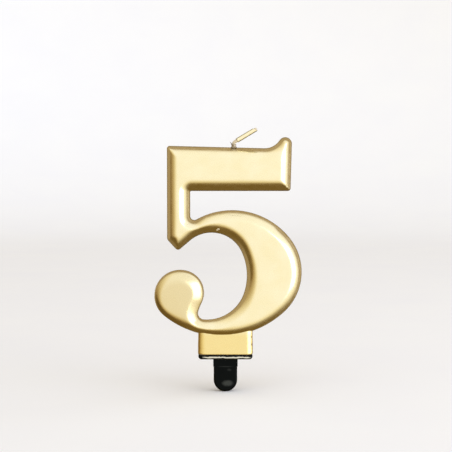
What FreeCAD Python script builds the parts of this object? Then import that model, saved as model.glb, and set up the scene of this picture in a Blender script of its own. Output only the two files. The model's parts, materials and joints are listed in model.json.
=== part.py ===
"""Number birthday candle: a bevelled wax "5" on a pedestal, with a bent wick and a plastic spike.

The candle stands upright. The digit lies in the XZ plane with its front towards -Y, and the
origin is at the middle of the holder plate's underside, where the plate meets the cake.
"""
import FreeCAD
import Part
import Sketcher
import math
import os

doc = FreeCAD.newDocument("number_candle")

# ---------------------------------------------------------------- driving dimensions (mm, degrees)
DIMENSIONS = [
    # the wax digit, front outline
    ("digit_thick", 12.0, "thickness of the digit, front face to back face"),
    ("bevel", 1.8, "radius of the rounded edge round both faces"),
    ("left_x", -21.02, "left side of the bar and of the stem"),
    ("bar_top", 76.72, "height of the bar's top left corner"),
    ("bar_slope", 1.43, "fall of the bar's top edge to the right"),
    ("bar_low", 60.5, "height of the bar's underside"),
    ("curl_start", 13.9, "where the top edge starts to curl up into the flag"),
    ("curl_radius", 6.49, "hollow curve up to the flag"),
    ("curl_sweep", 57.83, "turn of that curve"),
    ("flag_radius", 2.39, "rounded top of the flag"),
    ("flag_lean", 1.52, "inward lean of the flag's outer edge"),
    ("stem_right", -12.68, "right side of the stem"),
    ("throat_radius", 1.48, "hollow corner between the stem and the bowl"),
    ("throat_z", 51.56, "where the stem's side ends in that corner"),
    ("throat_sweep", 119.04, "turn of that corner"),
    ("shoulder_radius", 26.51, "outside of the bowl, top and right"),
    ("shoulder_sweep", 81.47, "turn of the shoulder"),
    ("cheek_radius", 19.69, "outside of the bowl, lower right"),
    ("cheek_sweep", 85.0, "turn of the cheek"),
    ("belly_radius", 33.1, "outside of the bowl, bottom"),
    ("belly_sweep", 81.91, "turn of the belly"),
    ("ball_radius", 9.35, "left side of the ball"),
    ("ball_sweep", 159.87, "turn of the ball's left side"),
    ("ball_tail_radius", 8.27, "right side of the ball"),
    ("ball_tail_sweep", 97.62, "turn of the ball's right side"),
    ("notch_lead_radius", 16.84, "hollow curve down into the notch"),
    ("notch_lead_sweep", 11.4, "turn of that curve"),
    ("notch_radius", 2.2, "bottom of the notch beside the ball"),
    ("notch_sweep", 100.65, "turn of the notch"),
    ("well_radius", 14.1, "inside of the bowl, lower right"),
    ("well_sweep", 76.16, "turn of the well"),
    ("wall_radius", 19.96, "inside of the bowl, right"),
    ("wall_sweep", 44.49, "turn of the wall"),
    ("roof_radius", 11.92, "inside of the bowl, top"),
    ("roof_sweep", 104.5, "turn of the roof"),
    ("foot_run", 5.85, "straight run from the roof to the foot of the stem"),
    ("foot_slant", 132.59, "direction of the slanted end of the stem"),
    # the wax pedestal under the bowl
    ("pedestal_wide", 19.9, "width of the pedestal"),
    ("pedestal_deep", 7.4, "depth of the pedestal, front to back"),
    ("pedestal_top", 11.2, "height at which the pedestal is buried in the bowl"),
    ("pedestal_round", 1.6, "rounding of the pedestal's upright edges"),
    # the gold lacquer
    ("lacquer", 0.3, "thickness of the gold coat"),
    ("sleeve_radius", 0.78, "outer radius of the lacquer on the wick"),
    ("collar_high", 0.95, "height of the broken lacquer left round the wick's stub"),
    ("sleeve_start", 1.7, "distance from the kink to the lacquered part of the wick"),
    ("tip_slant", 35.0, "slant of the cut end of the wick"),
    # the cotton wick
    ("wick_radius", 0.6, "radius of the cotton wick"),
    ("wick_x", 3.0, "where the wick leaves the bar, left to right"),
    ("wick_bed", 62.5, "height of the bottom of the wick's hole in the bar"),
    ("kink_z", 77.9, "height of the kink where the wick bends"),
    ("kink_gap", 0.06, "clearance at the kink"),
    ("wick_free", 9.4, "length of the free wick beyond the kink"),
    ("wick_rise", 31.0, "angle of the free wick above the horizontal"),
    # the black plastic holder
    ("plate_wide", 19.5, "width of the holder plate"),
    ("plate_deep", 7.2, "depth of the holder plate"),
    ("plate_thick", 1.7, "thickness of the holder plate"),
    ("plate_round", 1.2, "rounding of the plate's corners"),
    ("plate_edge", 0.3, "small rounding of the plate's upper rim"),
    ("plate_keel", 1.1, "rounding of the plate's lower rim"),
    ("neck_wide", 8.8, "width of the spike just under the plate"),
    ("neck_long", 2.7, "length of that wider neck"),
    ("spike_wide", 8.5, "width of the spike"),
    ("spike_long", 11.8, "length of the spike below the plate"),
    ("spike_thick", 4.2, "thickness of the spike, front to back"),
    ("spike_edge", 0.8, "rounding of the spike's edges"),
    ("anchor_wide", 7.0, "width of the tab that is cast into the pedestal"),
    ("anchor_high", 5.5, "height of that tab above the plate"),
    ("anchor_thick", 2.4, "thickness of that tab"),
    ("key_radius", 1.2, "radius of the hole through the tab, which the wax fills"),
    ("key_height", 2.9, "height of that hole above the plate"),
]

sheet = doc.addObject("Spreadsheet::Sheet", "dims")
for row, (alias, value, meaning) in enumerate(DIMENSIONS, start=1):
    sheet.set("A%d" % row, alias)
    sheet.set("B%d" % row, str(value))
    sheet.set("C%d" % row, meaning)
    sheet.setAlias("B%d" % row, alias)
doc.recompute()


def dim(alias):
    """A driving dimension as a plain number."""
    return float(sheet.get(alias))


def vector(x, y, z=0.0):
    return FreeCAD.Vector(x, y, z)


# ---------------------------------------------------------------- the outline of the digit
class OutlinePen:
    """Draws a clockwise outline in the XZ plane from straight runs, bends and sharp turns.

    A positive bend or turn goes to the left, which is a hollow in a clockwise outline.
    """

    def __init__(self, x, z, heading):
        self.x = x
        self.z = z
        self.heading = heading
        self.moves = []

    def add(self, kind, x, z, end_heading, **details):
        move = dict(kind=kind, start=(self.x, self.z), end=(x, z), start_heading=self.heading,
                    end_heading=end_heading, **details)
        self.moves.append(move)
        self.x = x
        self.z = z
        self.heading = end_heading

    def forward(self, length):
        angle = math.radians(self.heading)
        self.add("line", self.x + length * math.cos(angle), self.z + length * math.sin(angle),
                 self.heading)

    def forward_to_x(self, x):
        self.forward((x - self.x) / math.cos(math.radians(self.heading)))

    def forward_to_z(self, z):
        self.forward((z - self.z) / math.sin(math.radians(self.heading)))

    def turn_to(self, heading):
        self.heading = heading

    def bend(self, part, side):
        """A bend with the radius and sweep of the named part; side is +1 left, -1 right."""
        radius = dim(part + "_radius")
        sweep = side * dim(part + "_sweep")
        self.bend_by(part + "_radius", radius, sweep)

    def bend_by(self, alias, radius, sweep):
        side = math.copysign(1.0, sweep)
        normal = math.radians(self.heading + side * 90.0)
        centre_x = self.x + radius * math.cos(normal)
        centre_z = self.z + radius * math.sin(normal)
        out = math.radians(self.heading + sweep - side * 90.0)
        self.add("bend", centre_x + radius * math.cos(out), centre_z + radius * math.sin(out),
                 self.heading + sweep, centre=(centre_x, centre_z), radius=radius, side=side,
                 alias=alias)


def digit_outline():
    """The outline of the 5, clockwise from the top left corner of the bar."""
    pen = OutlinePen(dim("left_x"), dim("bar_top"), -dim("bar_slope"))
    pen.forward_to_x(dim("curl_start"))
    pen.bend("curl", +1)
    down_the_flag = -90.0 - dim("flag_lean")
    pen.bend_by("flag_radius", dim("flag_radius"), down_the_flag - pen.heading)
    pen.forward_to_z(dim("bar_low"))
    pen.turn_to(180.0)
    pen.forward_to_x(dim("stem_right"))
    pen.turn_to(-90.0)
    pen.forward_to_z(dim("throat_z"))
    pen.bend("throat", +1)
    for part in ("shoulder", "cheek", "belly", "ball", "ball_tail"):
        pen.bend(part, -1)
    for part in ("notch_lead", "notch", "well", "wall", "roof"):
        pen.bend(part, +1)
    pen.forward(dim("foot_run"))
    pen.turn_to(dim("foot_slant"))
    pen.forward_to_x(dim("left_x"))
    pen.turn_to(90.0)
    pen.forward_to_z(dim("bar_top"))
    return pen.moves


def inward_shift(heading_in, heading_out, inset):
    """How far a corner moves when the outline shrinks by the inset, with its inside on the right."""
    normal_in = math.radians(heading_in - 90.0)
    normal_out = math.radians(heading_out - 90.0)
    scale = inset / (1.0 + math.cos(normal_in - normal_out))
    return (scale * (math.cos(normal_in) + math.cos(normal_out)),
            scale * (math.sin(normal_in) + math.sin(normal_out)))


def origin_plane(body, role):
    for feature in body.Origin.OriginFeatures:
        if feature.Role == role:
            return feature
    raise ValueError("no plane " + role)


def new_sketch(body, name, role, offset=0.0):
    """A sketch on one of the body's own origin planes, moved along the plane's normal."""
    sketch = body.newObject("Sketcher::SketchObject", name)
    sketch.AttachmentSupport = [(origin_plane(body, role), "")]
    sketch.MapMode = "FlatFace"
    sketch.AttachmentOffset = FreeCAD.Placement(vector(0, 0, offset), FreeCAD.Rotation())
    return sketch


def draw_outline(sketch, moves, inset, inset_expression):
    """Draws the outline, shrunk by the inset, with its joints closed and its radii bound."""
    count = len(moves)
    corners = []
    for index, move in enumerate(moves):
        shift = inward_shift(moves[index - 1]["end_heading"], move["start_heading"], inset)
        corners.append(vector(move["start"][0] + shift[0], move["start"][1] + shift[1]))
    first_point = []
    last_point = []
    for index, move in enumerate(moves):
        start = corners[index]
        end = corners[(index + 1) % count]
        if move["kind"] == "line":
            sketch.addGeometry(Part.LineSegment(start, end), False)
            first_point.append(1)
            last_point.append(2)
            continue
        radius = move["radius"] + move["side"] * inset
        circle = Part.Circle(vector(*move["centre"]), vector(0, 0, 1), radius)
        low, high = (start, end) if move["side"] > 0 else (end, start)
        sketch.addGeometry(Part.ArcOfCircle(circle, circle.parameter(low), circle.parameter(high)),
                           False)
        first_point.append(1 if move["side"] > 0 else 2)
        last_point.append(2 if move["side"] > 0 else 1)
    for index in range(count):
        following = (index + 1) % count
        sketch.addConstraint(Sketcher.Constraint("Coincident", index, last_point[index],
                                                 following, first_point[following]))
    for index, move in enumerate(moves):
        if move["kind"] == "bend":
            radius = move["radius"] + move["side"] * inset
            number = sketch.addConstraint(Sketcher.Constraint("Radius", index, radius))
            name = "r_%d" % index
            sketch.renameConstraint(number, name)
            sign = "+" if move["side"] > 0 else "-"
            sketch.setExpression("Constraints." + name,
                                 "dims.%s %s %s" % (move["alias"], sign, inset_expression))


def pad(body, name, sketch, length, side="Symmetric", reverse=False):
    """A pad of the sketch whose length is bound to an expression."""
    feature = body.newObject("PartDesign::Pad", name)
    feature.Profile = sketch
    feature.SideType = side
    feature.Reversed = reverse
    feature.setExpression("Length", length)
    body.Tip = feature
    doc.recompute()
    return feature


def fillet(body, name, base, wanted, radius):
    """Rounds those edges of the base feature for which wanted(edge) is true."""
    names = []
    for number, edge in enumerate(base.Shape.Edges, start=1):
        if wanted(edge):
            names.append("Edge%d" % number)
    feature = body.newObject("PartDesign::Fillet", name)
    feature.Base = (base, names)
    feature.setExpression("Radius", radius)
    body.Tip = feature
    doc.recompute()
    return feature


def rectangle(sketch, centre_x, centre_y, wide, high):
    """A rectangle whose width and height are bound to expressions, centred on the point."""
    width = wide[0]
    height = high[0]
    left = centre_x - width / 2.0
    right = centre_x + width / 2.0
    low = centre_y - height / 2.0
    top = centre_y + height / 2.0
    points = [vector(left, low), vector(right, low), vector(right, top), vector(left, top)]
    for index in range(4):
        sketch.addGeometry(Part.LineSegment(points[index], points[(index + 1) % 4]), False)
    for index in range(4):
        sketch.addConstraint(Sketcher.Constraint("Coincident", index, 2, (index + 1) % 4, 1))
    for index, kind in enumerate(["Horizontal", "Vertical", "Horizontal", "Vertical"]):
        sketch.addConstraint(Sketcher.Constraint(kind, index))
    sizes = [("wide", Sketcher.Constraint("DistanceX", 0, 1, 0, 2, width), wide[1]),
             ("high", Sketcher.Constraint("DistanceY", 1, 1, 1, 2, height), high[1])]
    for name, constraint, expression in sizes:
        number = sketch.addConstraint(constraint)
        sketch.renameConstraint(number, name)
        sketch.setExpression("Constraints." + name, expression)


def is_upright(edge):
    """True for a straight edge that runs along Z."""
    along = edge.Vertexes[-1].Point - edge.Vertexes[0].Point
    return abs(along.x) < 0.01 and abs(along.y) < 0.01 and abs(along.z) > 0.5


def lies_in_plane_y(edge, y):
    return all(abs(vertex.Y - y) < 0.01 for vertex in edge.Vertexes)


# ---------------------------------------------------------------- the cast digit with its pedestal
def digit_form(name, inset_text):
    """The digit and its pedestal as one casting, shrunk all round by the inset."""
    inset = dim("lacquer") if inset_text else 0.0
    shrink = " - " + inset_text if inset_text else ""
    body = doc.addObject("PartDesign::Body", name)

    outline = new_sketch(body, name + "_outline", "XZ_Plane")
    draw_outline(outline, digit_outline(), inset, inset_text or "0")
    slab = pad(body, name + "_slab", outline, "dims.digit_thick" + shrink * 2)
    half = (dim("digit_thick") - 2.0 * inset) / 2.0

    def on_a_face(edge):
        return lies_in_plane_y(edge, half) or lies_in_plane_y(edge, -half)

    fillet(body, name + "_bevel", slab, on_a_face, "dims.bevel" + shrink)

    base = new_sketch(body, name + "_base", "XY_Plane", dim("plate_thick"))
    base.setExpression("AttachmentOffset.Base.z", "dims.plate_thick")
    rectangle(base, 0.0, 0.0, (dim("pedestal_wide") - 2.0 * inset, "dims.pedestal_wide" + shrink * 2),
              (dim("pedestal_deep") - 2.0 * inset, "dims.pedestal_deep" + shrink * 2))
    block = pad(body, name + "_pedestal", base, "dims.pedestal_top - dims.plate_thick", "One side")

    def on_the_pedestal(edge):
        return is_upright(edge) and edge.BoundBox.ZMin < dim("plate_thick") + 0.01

    fillet(body, name + "_corners", block, on_the_pedestal, "dims.pedestal_round" + shrink)
    return body


# ---------------------------------------------------------------- the plastic holder
def spike_holder():
    """The black plate with the flat spike below it and the keyed tab above it, moulded in one."""
    body = doc.addObject("PartDesign::Body", "spike_holder")

    plate_sketch = new_sketch(body, "plate_sketch", "XY_Plane")
    rectangle(plate_sketch, 0.0, 0.0, (dim("plate_wide"), "dims.plate_wide"),
              (dim("plate_deep"), "dims.plate_deep"))
    plate = pad(body, "plate", plate_sketch, "dims.plate_thick", "One side")
    rounded = fillet(body, "plate_corners", plate, is_upright, "dims.plate_round")

    def on_the_upper_rim(edge):
        return edge.BoundBox.ZMin > dim("plate_thick") - 0.01

    def on_the_lower_rim(edge):
        return edge.BoundBox.ZMax < 0.01

    keel = fillet(body, "plate_lower_rim", rounded, on_the_lower_rim, "dims.plate_keel")
    fillet(body, "plate_upper_rim", keel, on_the_upper_rim, "dims.plate_edge")

    blade_sketch = new_sketch(body, "blade_sketch", "XZ_Plane")
    half = dim("spike_wide") / 2.0
    low = half - dim("spike_long")
    buried = dim("plate_thick") / 2.0
    blade_sketch.addGeometry(Part.LineSegment(vector(half, low), vector(half, buried)), False)
    blade_sketch.addGeometry(Part.LineSegment(vector(half, buried), vector(-half, buried)), False)
    blade_sketch.addGeometry(Part.LineSegment(vector(-half, buried), vector(-half, low)), False)
    end = Part.Circle(vector(0, low), vector(0, 0, 1), half)
    blade_sketch.addGeometry(Part.ArcOfCircle(end, math.pi, 2.0 * math.pi), False)
    for first, second in [(0, 1), (1, 2), (2, 3)]:
        blade_sketch.addConstraint(Sketcher.Constraint("Coincident", first, 2, second, 1))
    blade_sketch.addConstraint(Sketcher.Constraint("Coincident", 3, 2, 0, 1))
    number = blade_sketch.addConstraint(Sketcher.Constraint("Radius", 3, half))
    blade_sketch.renameConstraint(number, "end_radius")
    blade_sketch.setExpression("Constraints.end_radius", "dims.spike_wide / 2")
    blade = pad(body, "blade", blade_sketch, "dims.spike_thick")

    def on_the_blade(edge):
        half_thick = dim("spike_thick") / 2.0
        below = edge.BoundBox.ZMin < -1.0
        return below and (lies_in_plane_y(edge, half_thick) or lies_in_plane_y(edge, -half_thick))

    fillet(body, "blade_edges", blade, on_the_blade, "dims.spike_edge")

    neck_sketch = new_sketch(body, "neck_sketch", "XZ_Plane")
    rectangle(neck_sketch, 0.0, (buried - dim("neck_long")) / 2.0,
              (dim("neck_wide"), "dims.neck_wide"),
              (dim("neck_long") + buried, "dims.neck_long + dims.plate_thick / 2"))
    pad(body, "neck", neck_sketch, "dims.spike_thick")

    anchor_sketch = new_sketch(body, "anchor_sketch", "XZ_Plane")
    tab_high = dim("anchor_high") + dim("plate_thick") - buried
    rectangle(anchor_sketch, 0.0, buried + tab_high / 2.0, (dim("anchor_wide"), "dims.anchor_wide"),
              (tab_high, "dims.anchor_high + dims.plate_thick / 2"))
    pad(body, "anchor", anchor_sketch, "dims.anchor_thick")

    key_sketch = new_sketch(body, "key_sketch", "XZ_Plane")
    key_z = dim("plate_thick") + dim("key_height")
    circle = Part.Circle(vector(0, key_z), vector(0, 0, 1), dim("key_radius"))
    key_sketch.addGeometry(circle, False)
    number = key_sketch.addConstraint(Sketcher.Constraint("Radius", 0, dim("key_radius")))
    key_sketch.renameConstraint(number, "key_radius")
    key_sketch.setExpression("Constraints.key_radius", "dims.key_radius")
    before = body.Shape.Volume
    key = body.newObject("PartDesign::Pocket", "key_hole")
    key.Profile = key_sketch
    key.SideType = "Symmetric"
    key.setExpression("Length", "dims.anchor_thick + 2")
    body.Tip = key
    doc.recompute()
    if not body.Shape.Volume < before - 1.0:
        raise ValueError("the key hole cuts nothing")
    return body


# ---------------------------------------------------------------- wick and lacquer on the wick
def cylinder(name, radius, height, placement):
    shape = doc.addObject("Part::Cylinder", name)
    shape.setExpression("Radius", radius)
    shape.setExpression("Height", height)
    shape.Placement = placement
    return shape


def combine(kind, name, base, tool):
    """A Part::Cut, Part::Fuse or Part::Common of two objects."""
    result = doc.addObject(kind, name)
    result.Base = base
    result.Tool = tool
    return result


def upright_at_wick(z):
    return FreeCAD.Placement(vector(dim("wick_x"), 0, z), FreeCAD.Rotation())


def along_free_wick(distance):
    """A place on the free wick's axis, this far from the kink, with Z along the wick."""
    rise = math.radians(dim("wick_rise"))
    origin = vector(dim("wick_x") + distance * math.cos(rise), 0,
                    dim("kink_z") + distance * math.sin(rise))
    return FreeCAD.Placement(origin, FreeCAD.Rotation(vector(0, 1, 0), 90.0 - dim("wick_rise")))


def bar_top_at(x):
    """Height of the bar's sloping top edge."""
    return dim("bar_top") - (x - dim("left_x")) * math.tan(math.radians(dim("bar_slope")))


def wick_lower():
    """The cotton from its bed in the bar up to the kink, ending in a ball about the kink."""
    shaft = cylinder("wick_shaft", "dims.wick_radius", "dims.kink_z - dims.wick_bed",
                     upright_at_wick(dim("wick_bed")))
    ball = doc.addObject("Part::Sphere", "wick_knuckle")
    ball.setExpression("Radius", "dims.wick_radius")
    ball.Placement = upright_at_wick(dim("kink_z"))
    return combine("Part::Fuse", "wick_lower", shaft, ball)


def slanted_end(name):
    """A block that cuts the free wick's end off on a slant."""
    block = doc.addObject("Part::Box", name)
    size = 6.0
    for side in ("Length", "Width", "Height"):
        setattr(block, side, size)
    end = along_free_wick(dim("wick_free"))
    slant = FreeCAD.Rotation(vector(0, 1, 0), dim("tip_slant"))
    end = end.multiply(FreeCAD.Placement(vector(0, 0, 0), slant))
    block.Placement = end.multiply(FreeCAD.Placement(vector(-size / 2, -size / 2, 0),
                                                     FreeCAD.Rotation()))
    return block


def wick_upper():
    """The cotton beyond the kink, hollowed at its root so that it turns round the ball."""
    root = dim("wick_radius") + dim("kink_gap")
    shaft = cylinder("free_shaft", "dims.wick_radius",
                     "dims.wick_free + 1 - dims.wick_radius - dims.kink_gap", along_free_wick(root))
    return combine("Part::Cut", "wick_upper", shaft, slanted_end("wick_cut"))


def wick_tip_sleeve():
    """The gold lacquer that still covers the end of the wick, open at its slanted tip."""
    start = dim("sleeve_start")
    outside = cylinder("sleeve_outside", "dims.sleeve_radius",
                       "dims.wick_free + 1 - dims.sleeve_start", along_free_wick(start))
    inside = cylinder("sleeve_inside", "dims.wick_radius",
                      "dims.wick_free + 3 - dims.sleeve_start", along_free_wick(start - 1.0))
    tube = combine("Part::Cut", "sleeve_tube", outside, inside)
    return combine("Part::Cut", "wick_tip_sleeve", tube, slanted_end("sleeve_cut"))


def wick_collar():
    """The ring of broken lacquer round the stub of the wick, standing on the bar."""
    foot = bar_top_at(dim("wick_x") + dim("sleeve_radius"))
    outside = cylinder("collar_outside", "dims.sleeve_radius", "dims.collar_high",
                       upright_at_wick(foot))
    inside = cylinder("collar_inside", "dims.wick_radius", "dims.collar_high + 2",
                      upright_at_wick(foot - 1.0))
    ring = combine("Part::Cut", "collar_ring", outside, inside)
    return combine("Part::Cut", "wick_collar", ring, skin_form)


# ---------------------------------------------------------------- the assembly
skin_form = digit_form("skin_form", "")
core_form = digit_form("core_form", "dims.lacquer")
holder = spike_holder()

wick_hole = cylinder("wick_hole", "dims.wick_radius", "20", upright_at_wick(dim("wick_bed")))
hollow_core = combine("Part::Cut", "core_with_bore", core_form, wick_hole)
wax_core = combine("Part::Cut", "wax_core", hollow_core, holder)

skin_hole = cylinder("skin_hole", "dims.wick_radius", "20", upright_at_wick(dim("wick_bed")))
shell = combine("Part::Cut", "shell", skin_form, core_form)
lacquer_skin = combine("Part::Cut", "gold_lacquer_skin", shell, skin_hole)

SUB_PARTS = [wax_core, lacquer_skin, wick_lower(), wick_upper(), wick_collar(), wick_tip_sleeve(),
             holder]
doc.recompute()

# ---------------------------------------------------------------- checks and export
for thing in doc.Objects:
    if "Invalid" in thing.State or "Error" in thing.State:
        raise ValueError("%s failed: %s" % (thing.Name, thing.State))
for part in SUB_PARTS:
    if part.Shape.isNull() or not part.Shape.isValid() or len(part.Shape.Solids) != 1:
        raise ValueError("%s has no sound solid" % part.Label)

os.makedirs("parts", exist_ok=True)
for part in SUB_PARTS:
    part.Shape.exportStep("parts/%s.step" % part.Label)
    print("%-18s %9.1f mm3" % (part.Label, part.Shape.Volume))
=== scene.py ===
"""The looks of the number birthday candle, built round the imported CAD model. Lengths are metres."""
import json
import math

import bmesh
import bpy
import numpy as np
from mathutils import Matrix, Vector, noise
from mathutils.geometry import delaunay_2d_cdt


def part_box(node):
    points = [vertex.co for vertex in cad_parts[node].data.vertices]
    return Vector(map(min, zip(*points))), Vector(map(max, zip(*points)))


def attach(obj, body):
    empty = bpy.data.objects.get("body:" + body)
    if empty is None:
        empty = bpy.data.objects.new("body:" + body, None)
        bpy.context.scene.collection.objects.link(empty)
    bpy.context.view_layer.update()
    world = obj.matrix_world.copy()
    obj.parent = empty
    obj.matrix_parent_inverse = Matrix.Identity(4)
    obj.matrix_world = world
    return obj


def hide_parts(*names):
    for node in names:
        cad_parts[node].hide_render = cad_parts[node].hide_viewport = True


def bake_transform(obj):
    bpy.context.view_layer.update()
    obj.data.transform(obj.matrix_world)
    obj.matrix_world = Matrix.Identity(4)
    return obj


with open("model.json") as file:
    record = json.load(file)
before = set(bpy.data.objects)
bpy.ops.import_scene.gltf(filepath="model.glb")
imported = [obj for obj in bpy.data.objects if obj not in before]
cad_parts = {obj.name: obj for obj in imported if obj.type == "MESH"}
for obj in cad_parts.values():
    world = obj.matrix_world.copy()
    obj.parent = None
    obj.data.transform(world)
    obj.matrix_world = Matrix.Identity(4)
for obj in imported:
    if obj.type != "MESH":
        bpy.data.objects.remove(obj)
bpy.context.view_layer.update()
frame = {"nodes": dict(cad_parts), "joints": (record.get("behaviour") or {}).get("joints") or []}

MM = 0.001
SCENE = bpy.context.scene
noise.seed_set(1)              # noise_vector shifts by this seed, and by the clock without one

SKIN_LOW, SKIN_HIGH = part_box("gold_lacquer_skin")
HOLDER_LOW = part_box("spike_holder")[0]
JOINT = frame["joints"][0]
KINK = Vector(JOINT["pos_m"])

# ---------------- the outline of the digit
LEFT_X = -21.02 * MM           # left side of the bar and the stem
BAR_TOP = 76.72 * MM           # the bar's top left corner
BAR_LOW = 60.5 * MM            # the bar's underside
BAR_SLOPE = 1.43               # degrees that the top edge falls to the right
STEM_RIGHT = -12.68 * MM
CURL_START = 13.9 * MM         # where the top edge starts to curl up
CURL = (6.49 * MM, 57.83)      # radius and sweep of the hollow curl under the flag
FLAG_ROUND = 2.39 * MM         # radius of the flag's tip
FLAG_LEAN = 1.52               # degrees that the bar's right end leans from upright
THROAT_Z = 51.56 * MM          # where the stem starts to turn into the bowl
THROAT = (1.48 * MM, 119.04)   # radius and sweep of that turn
FOOT_RUN = 5.85 * MM           # length of the stem's slanted foot
FOOT_SLANT = 132.59            # its heading in degrees
CORNER_ROUND = 1.0 * MM        # the cast corners are a little rounded
HEEL_ROUND = 1.9 * MM          # outer corner of the slanted foot
TIP_ROUND = 1.3 * MM           # and its tip
CREVICE_ROUND = 0.45 * MM      # hollow corner between the bar and the stem
FINEST_HOLLOW = 5.0            # degrees between points in a hollow bend
FINEST_CONVEX = 12.0           # and in a convex one
# name: (radius in mm, sweep in degrees), convex bends of the bowl and the ball, then the hollow ones
CONVEX_BENDS = {"shoulder": (26.51, 81.47), "cheek": (19.69, 85.0), "belly": (33.1, 81.91),
                "ball": (9.35, 159.87), "ball_tail": (8.27, 97.62)}
HOLLOW_BENDS = {"notch_lead": (16.84, 11.4), "notch": (2.2, 100.65), "well": (14.1, 76.16),
                "wall": (19.96, 44.49), "roof": (11.92, 104.5)}


class OutlinePen:
    """Walks clockwise round a shape and keeps evenly spaced points with their inward normals."""

    def __init__(self, x, z, heading, spacing):
        self.x = x
        self.z = z
        self.heading = heading
        self.spacing = spacing
        self.points = []
        self.normals = []

    def mark(self, x, z, heading):
        angle = math.radians(heading - 90.0)
        self.points.append((x, z))
        self.normals.append((math.cos(angle), math.sin(angle)))

    def forward(self, length):
        angle = math.radians(self.heading)
        steps = max(1, round(length / self.spacing))
        for step in range(steps):
            run = length * step / steps
            self.mark(self.x + run * math.cos(angle), self.z + run * math.sin(angle), self.heading)
        self.x += length * math.cos(angle)
        self.z += length * math.sin(angle)

    def forward_to_x(self, x, short=0.0):
        self.forward((x - self.x) / math.cos(math.radians(self.heading)) - short)

    def forward_to_z(self, z, short=0.0):
        self.forward((z - self.z) / math.sin(math.radians(self.heading)) - short)

    def bend(self, radius, sweep):
        """An arc; a positive sweep turns left and makes a hollow, whose points stand closer."""
        side = math.copysign(1.0, sweep)
        to_centre = math.radians(self.heading + side * 90.0)
        centre_x = self.x + radius * math.cos(to_centre)
        centre_z = self.z + radius * math.sin(to_centre)
        finest = FINEST_HOLLOW if sweep > 0 else FINEST_CONVEX
        steps = max(2, math.ceil(abs(sweep) / finest),
                    math.ceil(math.radians(abs(sweep)) * radius / self.spacing))
        for step in range(steps + 1):
            turned = sweep * step / steps
            angle = math.radians(self.heading + turned - side * 90.0)
            x = centre_x + radius * math.cos(angle)
            z = centre_z + radius * math.sin(angle)
            if step < steps:
                self.mark(x, z, self.heading + turned)
        self.x = x
        self.z = z
        self.heading += sweep


def corner_cut(radius, turn):
    """How much of a straight run the rounding of a corner takes."""
    return radius * math.tan(math.radians(abs(turn)) / 2.0)


def digit_outline(spacing):
    """Points and inward normals round the 5, clockwise from the bar's top left corner."""
    top_turn = -90.0 - BAR_SLOPE
    flag_down = -90.0 - FLAG_LEAN
    bar_end_turn = 180.0 - (360.0 + flag_down)
    slope = math.tan(math.radians(BAR_SLOPE))
    start_cut = corner_cut(CORNER_ROUND, top_turn)
    pen = OutlinePen(LEFT_X + start_cut, BAR_TOP - start_cut * slope, -BAR_SLOPE, spacing)
    pen.forward_to_x(CURL_START)
    pen.bend(*CURL)
    pen.bend(FLAG_ROUND, flag_down - pen.heading)
    pen.forward_to_z(BAR_LOW, corner_cut(CORNER_ROUND, bar_end_turn))
    pen.bend(CORNER_ROUND, bar_end_turn)
    pen.forward_to_x(STEM_RIGHT, corner_cut(CREVICE_ROUND, 90.0))
    pen.bend(CREVICE_ROUND, 90.0)
    pen.forward_to_z(THROAT_Z)
    pen.bend(*THROAT)
    for radius, sweep in CONVEX_BENDS.values():
        pen.bend(radius * MM, -sweep)
    for radius, sweep in HOLLOW_BENDS.values():
        pen.bend(radius * MM, sweep)
    tip_turn = FOOT_SLANT - (pen.heading % 360.0)
    heel_turn = 90.0 - FOOT_SLANT
    pen.forward(FOOT_RUN - corner_cut(TIP_ROUND, tip_turn))
    pen.bend(TIP_ROUND, tip_turn)
    pen.forward_to_x(LEFT_X, corner_cut(HEEL_ROUND, heel_turn))
    pen.bend(HEEL_ROUND, heel_turn)
    pen.forward_to_z(BAR_TOP, start_cut)
    pen.bend(CORNER_ROUND, top_turn)
    return np.array(pen.points), np.array(pen.normals)


# ---------------- the bevelled relief
HALF_THICK = 0.5 * (SKIN_HIGH.y - SKIN_LOW.y)
BEVEL_PLAN = 3.8 * MM          # side band and bevel together, seen from the front
BEVEL_SHORT = 2.9 * MM         # the same on the left of the ball
BEVEL_EXTRA = 0.3 * MM         # added where the bevel faces down or right
SOFT_EXTRA = 0.8 * MM          # and on the right of the ball
SOFT_FALL = 0.42               # how much less the bevel falls there
BAND_WIDE = 1.0 * MM           # plan width of the drafted side
BAND_NARROW = 0.35 * MM        # and where it stands almost upright: on the ball and under the bowl
# tilt of the surface in degrees against the share of the way from the band to the flat face
BEVEL_TILTS = [(0.0, 74.0), (0.107, 66.0), (0.214, 58.0), (0.357, 50.0), (0.5, 45.5), (0.643, 38.0),
               (0.75, 28.0), (0.857, 15.0), (0.964, 5.0), (1.0, 2.5)]
MITRE_ROUND = 0.5 * MM         # radius over which the mitres are softened
MITRE_SAMPLES = 10
CROWN = 0.14 * MM              # the faces swell a little towards their middle
CROWN_REACH = 5.0 * MM
WAVE = 0.035 * MM              # unevenness of the casting
WAVE_SIZE = 9.0 * MM
WAVE_SIDE = 3.1                # gives the front and the back different waves
# rings of points: shares of the band, then of the way from the band to the flat face
BAND_RINGS = [0.5, 1.0]
BEVEL_RINGS = [0.05, 0.1, 0.17, 0.25, 0.34, 0.43, 0.52, 0.6, 0.66, 0.72, 0.78, 0.85, 0.92, 1.0, 1.1]
OUTLINE_SPACING = 0.5 * MM
FACE_SPACING = 0.8 * MM        # between points on the flat faces
ROW_STEP = 0.87                # rows of a triangle grid are this share of the spacing apart
RIDGE_SPACING = 0.16 * MM
LEAST_SPACING = 0.09 * MM
WIDE_EASE = 2.0 * MM           # the wide share is averaged over this much outline to each side
CHUNK = 2000                   # points measured at a time, to spare memory
RIDGE_HALVINGS = 14            # halvings in the search for a ridge


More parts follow.
